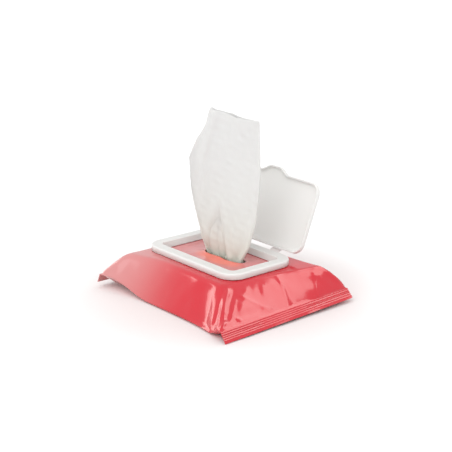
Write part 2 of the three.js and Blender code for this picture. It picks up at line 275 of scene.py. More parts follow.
def setUpCamera():
    low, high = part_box("lid_frame")
    aim = Vector(((low.x + high.x) / 2, (low.y + high.y) / 2, low.z))
    turn, rise = math.radians(studio["cameraTurn"]), math.radians(studio["cameraRise"])
    away = Vector((math.sin(turn) * math.cos(rise), -math.cos(turn) * math.cos(rise), math.sin(rise)))
    data = bpy.data.cameras.new("camera")
    data.lens = studio["lens"]
    data.sensor_width = 36
    data.clip_start = 0.01
    camera = bpy.data.objects.new("camera", data)
    camera.location = aim + away * studio["cameraDistance"] * millimetre
    look = (
        Matrix.Rotation(math.radians(studio["lookTurn"]), 3, "Z")
        @ Matrix.Rotation(math.radians(90 - studio["lookRise"]), 3, "X")
        @ Matrix.Rotation(math.radians(studio["roll"]), 3, "Z")
    )
    camera.rotation_euler = look.to_euler()
    bpy.context.scene.collection.objects.link(camera)
    bpy.context.scene.camera = camera


def setUpFloor():
    # Matt white paper, painted a darker pinkish shade round the pack so that its soft shadow shows: a painted shadow
    # that fades to white further out.
    paper = emptyMaterial("paperFloor")
    away = addNode(paper, "ShaderNodeVectorMath", {"operation": "LENGTH"}, {0: addPlace(paper)})
    start, end = studio["floorShade"]
    ramp = {"interpolation_type": "SMOOTHSTEP", "From Min": start, "From Max": end}
    spread = addRange(paper, away.outputs["Value"], ramp)
    tint = addMix(paper, spread, studio["floorPaintedShade"], studio["floorFar"])
    addSurface(paper, {"Roughness": 0.9, "Specular IOR Level": 0.1}, {"Base Color": tint})
    half = studio["floorHalf"]
    corners = np.array([[-half, -half, 0], [half, -half, 0], [half, half, 0], [-half, half, 0]])
    makePiece("floor", corners, np.array([[0, 1, 2, 3]]), paper)


def addSoftBox(name, direction, size, power):
    data = bpy.data.lights.new(name, "AREA")
    data.shape = "RECTANGLE"
    data.size, data.size_y = size
    data.energy = power
    data.color = studio["boxColour"]
    box = bpy.data.objects.new(name, data)
    box.visible_diffuse = False  # it only shines in the gloss; the room lights the rest
    towards = Vector(direction).normalized()
    box.location = towards * studio["boxDistance"]
    box.rotation_euler = towards.to_track_quat("Z", "Y").to_euler()
    bpy.context.scene.collection.objects.link(box)


def setUpLight():
    world = bpy.data.worlds.new("whiteRoom")
    bpy.context.scene.world = world
    world.use_nodes = True
    background = world.node_tree.nodes["Background"]
    background.inputs["Color"].default_value = (1.0, 1.0, 1.0, 1.0)
    background.inputs["Strength"].default_value = studio["worldStrength"]
    broad = bpy.data.lights.new("broadLight", "SUN")
    broad.energy = studio["skyLight"]
    broad.angle = math.radians(studio["skySpread"])
    above = bpy.data.objects.new("broadLight", broad)
    above.rotation_euler = Vector(studio["skyFrom"]).to_track_quat("Z", "Y").to_euler()
    bpy.context.scene.collection.objects.link(above)
    for name, (direction, size, power) in softBoxes.items():
        addSoftBox(name, direction, size, power)
    bpy.context.scene.view_settings.view_transform = "Standard"


def makeCoralFilm():
    # Gravure-printed polypropylene and polyethylene laminate, blown and drawn tight: a mirror-bright
    # skin that breaks up reflections only where it wrinkles, over coral ink. A painted reflection pales the ink
    # towards the rear and inside the frame's window, and a painted warm glow lies round the slot.
    film = emptyMaterial("glossPrintedLaminate")
    place = addPlace(film)
    inkCloud = addNoise(film, place, 30, 3.0)  # 30 mm drifts in ink weight
    ink = addMix(film, inkCloud, "#c61d2c", "#cb2734")
    # painted reflection: the ink turns pale pink towards the rear and inside the frame's window
    withPaintedReflection = addMix(film, addStored(film, "paintedReflection"), ink, "#ce9795")
    # painted warm glow: the film round the slot is tinted orange
    withPaintedGlow = addMix(film, addStored(film, "paintedSlotGlow"), withPaintedReflection, "#ea7a67")
    rub = addNoise(film, place, 9, 4.0)  # handling marks about 9 mm apart
    gloss = addRange(film, rub, {"To Min": 0.08, "To Max": 0.17})
    crinkle = addNoise(film, place, 3.2, 2.0, {"Roughness": 0.4})  # real crinkles are 1 to 4 mm
    addSurface(
        film,
        {"IOR": 1.5, "Coat Weight": 0.2, "Coat Roughness": 0.08, "Specular IOR Level": 0.5},
        {"Base Color": withPaintedGlow, "Roughness": gloss, "Normal": addRelief(film, crinkle, 0.22, 0.12)},
    )
    return film


def makeWhitePolypropylene():
    # Injection-moulded white polypropylene with a fine spark-eroded grain: a soft, slightly waxy
    # white with broad dull highlights.
    plastic = emptyMaterial("mouldedWhitePolypropylene")
    place = addPlace(plastic)
    flow = addNoise(plastic, place, 24, 2.0)  # moulding flow, tens of millimetres
    tint = addMix(plastic, flow, "#d6d5d2", "#dbdad8")
    grain = addNoise(plastic, place, 0.7, 2.0)  # the real grain is 0.1 mm, coarsened so that it shows
    dull = addRange(plastic, grain, {"To Min": 0.36, "To Max": 0.5})
    addSurface(
        plastic,
        {
            "IOR": 1.49, "Subsurface Weight": 0.5,
            "Subsurface Radius": (0.9, 1.0, 1.0), "Subsurface Scale": 4 * millimetre,
        },
        {"Base Color": tint, "Roughness": dull, "Normal": addRelief(plastic, grain, 0.12, 0.05)},
    )
    return plastic


def makeWetNonwoven():
    # Spunlace viscose and polyester, water-jet tangled and soaked in lotion: a limp white felt of
    # long fibres that lets light through and turns a little creamy where it is doubled and wettest.
    cloth = emptyMaterial("wetSpunlaceNonwoven")
    # the UV map is the flat sheet in metres, so fibres lie along the sheet's length
    flat = addNode(cloth, "ShaderNodeUVMap", {"uv_map": "UVMap"}).outputs["UV"]
    long = addStrands(cloth, flat, 0.8, 7)  # 0.02 mm fibres drawn as 0.8 mm strands
    short = addStrands(cloth, flat, 5, 0.9, turn=0.35)
    fibres = addNode(cloth, "ShaderNodeMath", {"operation": "ADD"}, {0: long, 1: short})
    cloud = addStrands(cloth, flat, 6, 6)  # web density drifts over 6 mm
    dry = addMix(cloth, cloud, "#d0d0cf", "#d6d6d5")
    tint = addMix(cloth, addStored(cloth, "wetness"), dry, "#d6d6c8")
    addSurface(
        cloth,
        {
            "Roughness": 0.78, "Specular IOR Level": 0.25, "Sheen Weight": 0.1, "Sheen Roughness": 0.5,
            "Subsurface Weight": 0.3, "Subsurface Radius": (1.0, 1.0, 0.95), "Subsurface Scale": 0.8 * millimetre,
        },
        {"Base Color": tint, "Normal": addRelief(cloth, fibres.outputs[0], 0.2, 0.08)},
    )
    return cloth


pouch = {
    "wall": 0.5,  # the two welded films of a seal together
    "film": 0.12,
    "filmLevel": 25.0,
    "midHalfWidth": 51.5,
    "endFlare": 6.0,
    "frontRoot": (63.2, -0.041, 7.8, 0.015),  # x and its lean across the pouch, z and its tilt
    "rearRoot": (-65.6, 0.0, 9.8, 0.0),
    "finLength": 8.0,
    "frontDroop": (55.0, 46.0),  # degrees below level at the near and far side
    "rearDroop": (66.0, 62.0),
    "rearFinShare": 0.88,  # the rear seal is cut a little narrower
    "edgeHeight": 1.2,
    "riseRear": (-17.0, -60.0),
    "riseFront": (49.0, 65.0),
    "nearShoulder": 33.6,
    "farShoulder": 39.5,
    "frontShoulder": (43.5, 0.19),
    "rearShoulder": -54.0,
    "undersideSlope": (0.75, 1.25, 0.9),  # front, rear, sides
    "upperCrease": 1.15,
    "lowerCrease": 0.8,
    "rows": 132,
    "columns": 112,
    "finRows": 26,
    "bulge": 0.5,  # how far the slopes belly out
    "sideBulge": 0.35,  # the side slopes' share of it
    "frontEnd": (38.0, 48.0),  # x over which the flat top gives way to the front slope
    "rearEnd": (-48.0, -56.0),
    "broadWaves": (0.30, 38.0),  # height and length of the slow waves in the film
    "smallWaves": (0.06, 14.0),
    "endWaves": (0.16, 19.0),  # more of them at the ends
    "endRipples": (0.025, 7.0),
    "windowWaves": (0.16, 17.0),  # in the slack film inside the frame
    "windowRipples": (0.05, 7.0),
    "undersideWaves": (0.10, 22.0),
    "finWaves": (0.12, 26.0),
    "facets": (0.06, 0.26, 30.0),  # height, added height at the ends, and length
    "cornerFolds": (0.75, 9, 12.0),  # height, number in a full turn, and reach
    "crimpPitch": 1.35,
    "crimpHeight": 0.21,
    "crimpZone": (0.7, 6.1),  # ridges stop short of the cut edge
    "softCrimp": (-0.46, -0.36, 0.20, 0.32),  # where across the front seal the jaws pressed less
    "softCrimpLoss": 0.7,
    "windowHalf": (37.3, 19.7),  # the film that shows inside the frame
    "slotPull": 9,  # how far round the slot the grid is drawn in
    # film standing up along the slot: height, its share all round, its added share on the near side, reach
    "lip": (0.9, 0.45, 0.75, 2.4),
    "backSeam": (3.0, 5.5, 0.3),  # middle, half width and thickness of the seam under the pouch
}
# the ends of each seal, as x, y and where in its fan of folds the first one falls
sealEnds = (((64, -57, 0.6), (61, 57, 1.4)), ((-66, -57, 0.2), (-66, 57, 2.2)))
paintedLightShape = {
    "paleTo": (-70, 10),  # the painted reflection is strongest at the first x and gone at the second
    "lean": 0.2,
    "wander": (3, 45),  # how far that boundary wanders, and over what length
    "palest": 0.8,
    "curve": 1.3,
    "windowHalf": (40, 22),
    "windowPaintedReflection": 0.62,
    "glowHalf": (24, 8.5),  # the painted warm glow round the slot
    "glowShift": 6,  # how far it lies to the near side
    "glowEdge": (0.55, 1.15),
    "glowMost": 0.85,
    "topFrom": 20,  # both are only on film higher than this
}
slotShape = {"offset": (3.5, 2.6), "halfLength": 19.0, "halfWidth": 4.8}

# ridges and valleys in the film: start, end, height (below zero for a valley) and width
creases = [
    ((38, -27), (61, -56), 0.80, 1.2),  # along the near hip, from the frame's corner
    ((35, -29), (58, -57), -0.70, 1.3),
    ((42, -26), (63, -52), -0.60, 1.2),
    ((46, -30), (63, -47), 0.35, 1.2),
    ((30, -32), (55, -57), 0.45, 1.8),
    ((20, -34), (46, -57), -1.10, 5.5),
    ((40, -14), (63, -40), 0.25, 2.6),
    ((37, 30), (60, 55), 0.35, 2.0),  # along the far hip
    ((39, 24), (52, 38), -0.45, 1.6),
    ((40, 18), (62, 47), 0.22, 2.4),
    ((40, 6), (62, 14), 0.20, 3.0),  # down the front slope
    ((40, -4), (62, -22), -0.20, 2.6),
    ((58, -54), (60, -16), -0.55, 2.6),  # a hollow above the near end of the front seal
    ((-52, -26), (-63, -52), 0.30, 2.2),  # rear hips
    ((-52, 29), (-63, 53), 0.30, 2.2),
    ((-53, 5), (-64, 12), 0.20, 2.6),
    ((-20, -33), (-34, -49), 0.14, 4.0),  # faint drag lines in the side panels
    ((8, -33), (20, -50), -0.16, 4.0),
    ((0, 37), (14, 50), 0.16, 4.0),
    ((-30, 37), (-42, 50), -0.16, 4.0),
]


def rootPoint(root, y):
    x, lean, z, tilt = root
    return x + lean * y, z + tilt * y


def halfWidthAt(share):
    return pouch["midHalfWidth"] + pouch["endFlare"] * np.abs(2 * share - 1) ** 3


def sideEdgeHeight(x, y):
    low = pouch["edgeHeight"]
    rear = (rootPoint(pouch["rearRoot"], y)[1] - low) * smoothStep(*pouch["riseRear"], x)
    front = (rootPoint(pouch["frontRoot"], y)[1] - low) * smoothStep(*pouch["riseFront"], x)
    return low + rear + front


def upperFilm(x, y, halfWidth):
    # the lowest of a flat top, a slope to each seal and a slope to each side edge, with soft creases
    level = pouch["filmLevel"]
    frontX, frontZ = rootPoint(pouch["frontRoot"], y)
    rearX, rearZ = rootPoint(pouch["rearRoot"], y)
    shoulder = np.where(y < 0, pouch["nearShoulder"], pouch["farShoulder"])
    frontShoulder = pouch["frontShoulder"][0] + pouch["frontShoulder"][1] * y
    frontSlope = (level - frontZ) / (frontX - frontShoulder)
    rearSlope = (level - rearZ) / (pouch["rearShoulder"] - rearX)
    sideSlope = (level - pouch["edgeHeight"]) / (pouch["midHalfWidth"] - shoulder)
    return softLowest(
        [
            np.full_like(x, level),
            frontZ + (frontX - x) * frontSlope,
            rearZ + (x - rearX) * rearSlope,
            sideEdgeHeight(x, y) + (halfWidth - np.abs(y)) * sideSlope,
        ],
        pouch["upperCrease"],
    )


def lowerFilm(x, y, halfWidth):
    # the highest of the flat bottom and the turned-up ends and sides
    front, rear, side = pouch["undersideSlope"]
    frontX, frontZ = rootPoint(pouch["frontRoot"], y)
    rearX, rearZ = rootPoint(pouch["rearRoot"], y)
    height = softHighest(
        [
            np.zeros_like(x),
            frontZ - (frontX - x) * front,
            rearZ - (x - rearX) * rear,
            sideEdgeHeight(x, y) - (halfWidth - np.abs(y)) * side,
        ],
        pouch["lowerCrease"],
    )
    return np.maximum(0, height - 0.02)  # rounding leaves the flat bottom a hair high


def surfaceNormals(points):
    # cross product of the grid's two directions at each point
    normals = np.cross(np.gradient(points, axis=0), np.gradient(points, axis=1))
    return normals / np.linalg.norm(normals, axis=-1, keepdims=True)


def creaseField(x, y):
    # each crease is a bell across its line, and fades over a few millimetres at its two ends
    total = np.zeros_like(x)
    for start, end, height, width in creases:
        start, end = np.array(start, float), np.array(end, float)
        length = np.linalg.norm(end - start)
        awayX, awayY = x - start[0], y - start[1]
        along = (awayX * (end[0] - start[0]) + awayY * (end[1] - start[1])) / length
        across = (awayX * (end[1] - start[1]) - awayY * (end[0] - start[0])) / length
        fade = smoothStep(-3, 7, along) * (1 - smoothStep(length - 8, length + 2, along))
        total += height * np.exp(-(across / width) ** 2) * fade
    return total


def foldFan(x, y, cornerX, cornerY, phase):
    # folds that spread from a corner of the pouch like a fan, highest near the corner
    height, number, reach = pouch["cornerFolds"]
    away = np.hypot(x - cornerX, y - cornerY)
    heading = np.arctan2(y - cornerY, x - cornerX)
    return height * np.cos(number * heading + phase) * np.exp(-away / reach) * smoothStep(0, 5, away)


def filmWrinkles(x, y, upper, frameMiddle, frameHalf):
    # how far the upper film stands out from its taut shape, nothing under the frame
    outsideX, outsideY = np.abs(x - frameMiddle[0]) - frameHalf[0], np.abs(y - frameMiddle[1]) - frameHalf[1]
    free = smoothStep(0.5, 6, np.maximum(outsideX, outsideY))
    floor = sideEdgeHeight(x, y)
    down = np.clip((pouch["filmLevel"] - upper) / (pouch["filmLevel"] - floor), 0, 1)
    slope = smoothStep(0.03, 0.2, down) * (1 - smoothStep(0.9, 1.0, down))
    endness = smoothStep(*pouch["frontEnd"], x) + smoothStep(*pouch["rearEnd"], x)
    sideBulge = pouch["sideBulge"]
    belly = pouch["bulge"] * np.sin(math.pi * down) * (sideBulge + (1 - sideBulge) * endness)
    waves = wavesOf(pouch["broadWaves"], x, y, 11) + wavesOf(pouch["smallWaves"], x, y, 12)
    waves += endness * (wavesOf(pouch["endWaves"], x, 0.7 * y, 13) + wavesOf(pouch["endRipples"], x, y, 14))
    # the film buckles into facets with fine ridges between them, most at the ends
    facet, endFacet, facetLength = pouch["facets"]
    fromRidge = np.minimum(np.abs(softNoise(x, 0.8 * y, facetLength, 15)), 1)
    waves += (facet + endFacet * endness) * (1 - fromRidge) ** 3
    front, rear = (sum(foldFan(x, y, *corner) for corner in pair) for pair in sealEnds)
    bumps = belly + waves + (front + rear) + creaseField(x, y)
    return free * slope * bumps + 0.3 * free * (1 - slope) * waves


def finSheets(root, outward, droop, across, distance):
    # a welded strip of both films that leans down from its root, pressed into ridges along its length
    y = across * halfWidthAt(0.0)
    startX, startZ = rootPoint(root, y)
    angle = np.radians(droop[0] + (droop[1] - droop[0]) * (across + 1) / 2)
    lean, rise = outward * np.sin(angle), np.cos(angle)
    first, last = pouch["crimpZone"]
    ridge = np.cos(math.tau * (distance - first) / pouch["crimpPitch"])
    ridge = ridge * smoothStep(first - 0.5, first + 0.2, distance)
    ridge = ridge * (1 - smoothStep(last - 0.2, last + 0.5, distance))
    if outward > 0:
        a, b, c, d = pouch["softCrimp"]
        ridge = ridge * (1 - pouch["softCrimpLoss"] * smoothStep(a, b, across) * (1 - smoothStep(c, d, across)))
    press = pouch["crimpHeight"] * ridge + wavesOf(pouch["finWaves"], y, distance, 21) * distance / pouch["finLength"]
    middle = np.stack([
        startX + outward * distance * np.cos(angle) + lean * press,
        y + 0 * distance,
        startZ - distance * np.sin(angle) + rise * press,
    ], -1)
    half = pouch["wall"] / 2
    lift = np.stack([lean * half + 0 * distance, 0 * (y + distance), rise * half + 0 * distance], -1)
    return middle + lift, middle - lift


def stadiumPoint(p, q, halfLength, halfWidth):
    # squeezes the square ends of a block, -1 to 1 each way, into the round ends of a slot
    straight = halfLength - halfWidth
    along = np.abs(p) * halfLength
    u = np.clip((along - straight) / halfWidth, 0, 1)
    roundEnd = np.sign(p) * (straight + halfWidth * u * np.sqrt(1 - q * q / 2))
    return np.where(along <= straight, p * halfLength, roundEnd), halfWidth * q * np.sqrt(1 - u * u / 2)


def openSlot(x, y, slotMiddle):
    # the block of cells nearest the slot is to be left out, and the grid round it is drawn onto its edge
    a, b = slotShape["halfLength"], slotShape["halfWidth"]
    alongLine, acrossLine = x[:, x.shape[1] // 2], y[x.shape[0] // 2]
    i0, i1 = (np.argmin(np.abs(alongLine - end)) for end in (slotMiddle[0] - a, slotMiddle[0] + a))
    j0, j1 = (np.argmin(np.abs(acrossLine - end)) for end in (slotMiddle[1] - b, slotMiddle[1] + b))
    row, column = np.indices(x.shape)
    p, q = 2 * (row - i0) / (i1 - i0) - 1, 2 * (column - j0) / (j1 - j0) - 1
    pEdge, qEdge = np.clip(p, -1, 1), np.clip(q, -1, 1)
    edgeX, edgeY = stadiumPoint(pEdge, qEdge, a, b)
    rowAt, columnAt = np.clip(row, i0, i1), np.clip(column, j0, j1)
    toSlot = np.hypot((np.abs(p) - np.abs(pEdge)) * a, (np.abs(q) - np.abs(qEdge)) * b)
    pull = 1 - smoothStep(0, pouch["slotPull"], toSlot)
    x = x + (slotMiddle[0] + edgeX - x[rowAt, columnAt]) * pull
    y = y + (slotMiddle[1] + edgeY - y[rowAt, columnAt]) * pull
    return x, y, toSlot, (i0, i1, j0, j1)


def filmPaintedLight(points, frameMiddle, slotMiddle):
    # the painted reflection that pales the ink towards the rear and inside the window, and the painted warm glow
    # round the slot, at each point
    x, y, onTop = points[..., 0], points[..., 1], points[..., 2] > paintedLightShape["topFrom"]
    wander, wanderLength = paintedLightShape["wander"]
    # painted reflection, strongest towards the rear with a wandering edge, and inside the frame's window
    drift = x + paintedLightShape["lean"] * y + wander * softNoise(x, y, wanderLength, 41)
    rearPaintedReflection = paintedLightShape["palest"] * (1 - smoothStep(*paintedLightShape["paleTo"], drift)) ** paintedLightShape["curve"]
    window = insideBox(x, y, frameMiddle, paintedLightShape["windowHalf"], 4) * onTop
    # painted warm glow round the slot, shifted to the near side
    glowX, glowY = paintedLightShape["glowHalf"]
    fromSlot = np.hypot((x - slotMiddle[0]) / glowX, (y - slotMiddle[1] + paintedLightShape["glowShift"]) / glowY)
    paintedGlowShare = paintedLightShape["glowMost"] * (1 - smoothStep(*paintedLightShape["glowEdge"], fromSlot)) * onTop
    return {"paintedReflection": np.maximum(rearPaintedReflection, paintedLightShape["windowPaintedReflection"] * window), "paintedSlotGlow": paintedGlowShare}


def makeFilmPouch(material):
    frameLow, frameHigh = inMillimetres("lid_frame")
    frameMiddle, frameHalf = (frameLow + frameHigh)[:2] / 2, (frameHigh - frameLow)[:2] / 2
    slotMiddle = frameMiddle + np.array(slotShape["offset"])
    rows, columns = pouch["rows"], pouch["columns"]
    even = np.linspace(0, 1, rows + 1)[:, None]
    share = even - 0.3 * np.sin(math.tau * even) / math.tau  # rows crowd a little towards the seals
    across = np.linspace(-1, 1, columns + 1)[None, :]
    halfWidth = halfWidthAt(share) + 0 * across
    y = across * halfWidth
    rearX, frontX = rootPoint(pouch["rearRoot"], y)[0], rootPoint(pouch["frontRoot"], y)[0]
    x, y, toSlot, (i0, i1, j0, j1) = openSlot(rearX + (frontX - rearX) * share, y, slotMiddle)

    high, low = upperFilm(x, y, halfWidth), lowerFilm(x, y, halfWidth)
    middle = (high + low) / 2
    half = np.hypot(np.maximum(0, (high - low) / 2), pouch["wall"] / 2)
    upper = np.stack([x, y, middle + half], -1)
    lower = np.stack([x, y, np.maximum(0, middle - half)], -1)
    upper += surfaceNormals(upper) * filmWrinkles(x, y, high, frameMiddle, frameHalf)[..., None]

    # inside the window the film is slack, and its cut edge curls up along the slot
    lipHeight, lipShare, nearShare, lipReach = pouch["lip"]
    nearSide = 1 - smoothStep(-4, 4, y - slotMiddle[1])
    lip = lipHeight * (lipShare + nearShare * nearSide) * np.exp(-toSlot / lipReach)
    slack = wavesOf(pouch["windowWaves"], x, y, 31) + wavesOf(pouch["windowRipples"], x, y, 32)
    upper[..., 2] += insideBox(x, y, frameMiddle, pouch["windowHalf"], 3) * (slack + lip)

    # the lengthwise seam lies folded flat under the pouch, and lifts the film beside it by its thickness
    seamMiddle, seamHalf, seamThick = pouch["backSeam"]
    waveHeight, waveLength = pouch["undersideWaves"]
    besideSeam = smoothStep(seamHalf - 0.4, seamHalf + 0.2, np.abs(y - seamMiddle))
    for lift in (seamThick, waveHeight * (1 + softNoise(x, y, waveLength, 33))):
        lower[..., 2] += lift * besideSeam * (1 - smoothStep(0, 3, lower[..., 2]))

    steps = np.linspace(pouch["finLength"], 0, pouch["finRows"] + 1)[:-1, None]
    rearSteps = steps * pouch["rearFinShare"]
    rearUpper, rearLower = finSheets(pouch["rearRoot"], -1, pouch["rearDroop"], across, rearSteps)
    frontUpper, frontLower = finSheets(pouch["frontRoot"], 1, pouch["frontDroop"], across, steps[::-1])
    upper = np.concatenate([rearUpper, upper, frontUpper])
    lower = np.concatenate([rearLower, lower, frontLower])

    # upper and lower film make one closed tube, with the cut edge of each seal across its ends
    loops = np.concatenate([upper, lower[:, ::-1]], 1)
    count, width = loops.shape[:2]
    quads = gridQuads(count, width, columnsClose=True)
    row, column = np.divmod(np.arange(len(quads)), width)
    fins = pouch["finRows"]
    inSlot = (row >= fins + i0) & (row < fins + i1) & (column >= j0) & (column < j1)
    j = np.arange(columns)
    startCap = np.stack([j, j + 1, width - 2 - j, width - 1 - j], -1)
    endCap = startCap[:, ::-1] + (count - 1) * width
    quads = np.concatenate([quads[~inSlot], startCap, endCap])

    # points inside the slot belong to no face and are left out
    kept, corners = np.unique(quads, return_inverse=True)
    stored = filmPaintedLight(loops, frameMiddle, slotMiddle)
    stored = {name: value.ravel()[kept] for name, value in stored.items()}
    points = loops.reshape(-1, 3)[kept]
    piece = makePiece("filmPouch", points, corners.reshape(-1, 4), material, 55, values=stored)
    giveThickness(piece, "filmThickness", pouch["film"], -1)
    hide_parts("film_pouch")
    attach(piece, "pack_body")


moulding = {
    "frameRadius": 12.0,
    "endBand": 8.4,
    "sideBand": 8.8,
    "windowRadius": 3.0,
    "edgeRadius": 1.1,
    "windowEdge": 0.55,
    "draft": (0.7, -0.9),  # the window's wall leans: further out at its top, further in at its foot
    "dish": 0.18,  # how far the middle of the band is sunk
    "cornerSteps": 18,
}
lidShape = {
    "backGap": 2.2,
    "reach": 51.9,
    "cornerRadius": 8.2,
    "rim": 0.7,  # skirt's rim above the hinge axis when closed
    "depth": 3.4,
    "plate": 1.2,
    "skirt": 1.2,
    "edgeRadius": 0.8,
    "tabHeight": 4.2,
    "tabHalfWidth": 10.5,
    "crown": 0.25,  # the plate is very slightly domed
    "insideFillet": 1.9,
}
strapShape = {
    "thickness": 0.5,
    "thinnest": 0.32,
    "lidFoot": (0.3, 2.6),  # how far into the lid's back wall and up it the web ends
    "frameFoot": (-0.6, -1.8),
    "elbow": (0.15, 0.1),
}


def roundedLoop(halfX, halfY, radius, steps):
    # points round a rounded rectangle, anticlockwise, with a few extra along each straight side
    quarter = np.linspace(0, math.pi / 2, steps + 1)
    arcs = []
    for turn, (signX, signY) in enumerate([(1, 1), (-1, 1), (-1, -1), (1, -1)]):
        angle = quarter + turn * math.pi / 2
        x = signX * (halfX - radius) + radius * np.cos(angle)
        y = signY * (halfY - radius) + radius * np.sin(angle)
        arcs.append(np.stack([x, y], -1))
    share = np.linspace(0, 1, 10)[1:-1, None]
    parts = []
    for arc, following in zip(arcs, arcs[1:] + arcs[:1]):
        parts += [arc, arc[-1] * (1 - share) + following[0] * share]
    return np.concatenate(parts)


def makeFrame(material):
    low, high = inMillimetres("lid_frame")
    middle, half = (low + high) / 2, (high - low) / 2
    bottom, top = low[2], high[2]
    radius, edge = moulding["frameRadius"], moulding["edgeRadius"]
    innerX, innerY = half[0] - moulding["endBand"], half[1] - moulding["sideBand"]

    def wall(halfX, halfY, cornerRadius, z):
        loop = roundedLoop(halfX, halfY, cornerRadius, moulding["cornerSteps"])
        return np.column_stack([loop, np.full(len(loop), z)])

    def outer(inset, z):
        return wall(half[0] - inset, half[1] - inset, radius - inset, z)

    def inner(inset, z):
        return wall(innerX + inset, innerY + inset, moulding["windowRadius"] + inset, z)

    # the section: outer wall, rounded outer edge, dished top band, rounded window edge, window wall, underside
    loops = [outer(0.12, bottom), outer(0, bottom + 0.15), outer(0, top - edge)]
    for angle in np.linspace(0, math.pi / 2, 8)[1:]:
        loops.append(outer(edge * (1 - math.cos(angle)), top - edge * (1 - math.sin(angle))))
    draftTop, draftFoot = moulding["draft"]
    outerTop, innerTop = outer(edge, top), inner(draftTop + moulding["windowEdge"], top)
    for share in np.linspace(0, 1, 9)[1:-1]:
        band = outerTop * (1 - share) + innerTop * share
        band[:, 2] = top - moulding["dish"] * math.sin(math.pi * share) ** 0.7
        loops.append(band)
    for angle in np.linspace(math.pi / 2, 0, 6):
        inset = moulding["windowEdge"] * (1 - math.cos(angle))
        loops.append(inner(draftTop + inset, top - moulding["windowEdge"] * (1 - math.sin(angle))))
    loops += [inner(draftFoot, bottom + 0.12), inner(draftFoot + 0.12, bottom)]
    points = np.stack(loops) + np.array([middle[0], middle[1], 0])
    quads = gridQuads(points.shape[0], points.shape[1], rowsClose=True, columnsClose=True)[:, ::-1]
    piece = makePiece("lidFrame", points, quads, material, 50)
    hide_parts("lid_frame")
    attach(piece, "pack_body")


def hingeAxis():
    joint = next(j for j in frame["joints"] if j["name"] == "lid_hinge")
    return np.array(joint["pos_m"]) / millimetre, math.radians(joint["range_deg"][1])


def openLid(points):
    # turns the closed lid about the hinge axis to where it stands open
    axis, openAngle = hingeAxis()
    cos, sin = math.cos(-openAngle), math.sin(-openAngle)
    y, z = points[..., 1], points[..., 2]
    return np.stack([points[..., 0], y * cos - z * sin, y * sin + z * cos], -1) + axis


def lidLoop(inset, z):
    # the lid's outline with its thumb tab, in its closed place, seen from the hinge axis
    low, high = inMillimetres("lid")
    halfX = (high[0] - low[0]) / 2
    halfDepth = (lidShape["reach"] - lidShape["backGap"]) / 2
    cornerRadius = max(lidShape["cornerRadius"] - inset, 0.6)
    loop = roundedLoop(halfX - inset, halfDepth - inset, cornerRadius, 14)
    tabHalf = lidShape["tabHalfWidth"]
    x = np.linspace(-1, 1, 41) * tabHalf * 1.5
    swell = lidShape["tabHeight"] * (1 - smoothStep(tabHalf * 0.35, tabHalf * 1.3, np.abs(x)))
    tab = np.column_stack([x, -(halfDepth - inset) - swell])
    # the tab takes the place of the straight part of the free edge that it covers
    straight = (np.abs(loop[:, 1] + halfDepth - inset) < 1e-6) & (np.abs(loop[:, 0]) < x[-1])
    begin = np.flatnonzero(straight)[0]
    loop = np.concatenate([loop[:begin], tab, loop[begin:][~straight[begin:]]])
    loop[:, 1] -= (lidShape["reach"] + lidShape["backGap"]) / 2
    return np.column_stack([loop, np.full(len(loop), z)])


def shrink(loop, share, z):
    # the same outline drawn in towards its middle
    middle = np.array([0.0, -(lidShape["reach"] + lidShape["backGap"]) / 2])
    return np.column_stack([middle + (loop[:, :2] - middle) * share, np.full(len(loop), z)])


def makeLid(material):
    rim, crown = lidShape["rim"], lidShape["crown"]
    ceiling = rim + lidShape["depth"]
    inside = ceiling - lidShape["plate"]
    skirt, edge, fillet = lidShape["skirt"], lidShape["edgeRadius"], lidShape["insideFillet"]
    innerPlate, plate = lidLoop(skirt + fillet, inside), lidLoop(edge, ceiling)
    shares = (0.02, 0.2, 0.4, 0.6, 0.8, 0.93)
    # from the middle of the inside out to the skirt, round its rim, and back over the top
    loops = [shrink(innerPlate, share, inside + 0.5 * crown * (1 - share ** 2)) for share in shares]
    for angle in np.linspace(math.pi / 2, 0, 6):
        inset = skirt + fillet * (1 - math.cos(angle))
        loops.append(lidLoop(inset, inside - fillet * (1 - math.sin(angle))))
    loops += [lidLoop(skirt, rim + 0.25), lidLoop(skirt - 0.25, rim), lidLoop(0.25, rim), lidLoop(0, rim + 0.25)]
    for angle in np.linspace(0, math.pi / 2, 7):
        loops.append(lidLoop(edge * (1 - math.cos(angle)), ceiling - edge * (1 - math.sin(angle))))
    loops += [shrink(plate, share, ceiling + crown * (1 - share ** 2)) for share in shares[::-1]]
    poles = [shrink(plate, 0, inside + 0.5 * crown)[0], shrink(plate, 0, ceiling + crown)[0]]
    points, quads, caps = cappedTube(np.stack(loops), poles)
    piece = makePiece("lidShell", openLid(points), quads[:, ::-1], material, 50, triangles=caps[:, ::-1])
    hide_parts("lid")
    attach(piece, "lid_body")


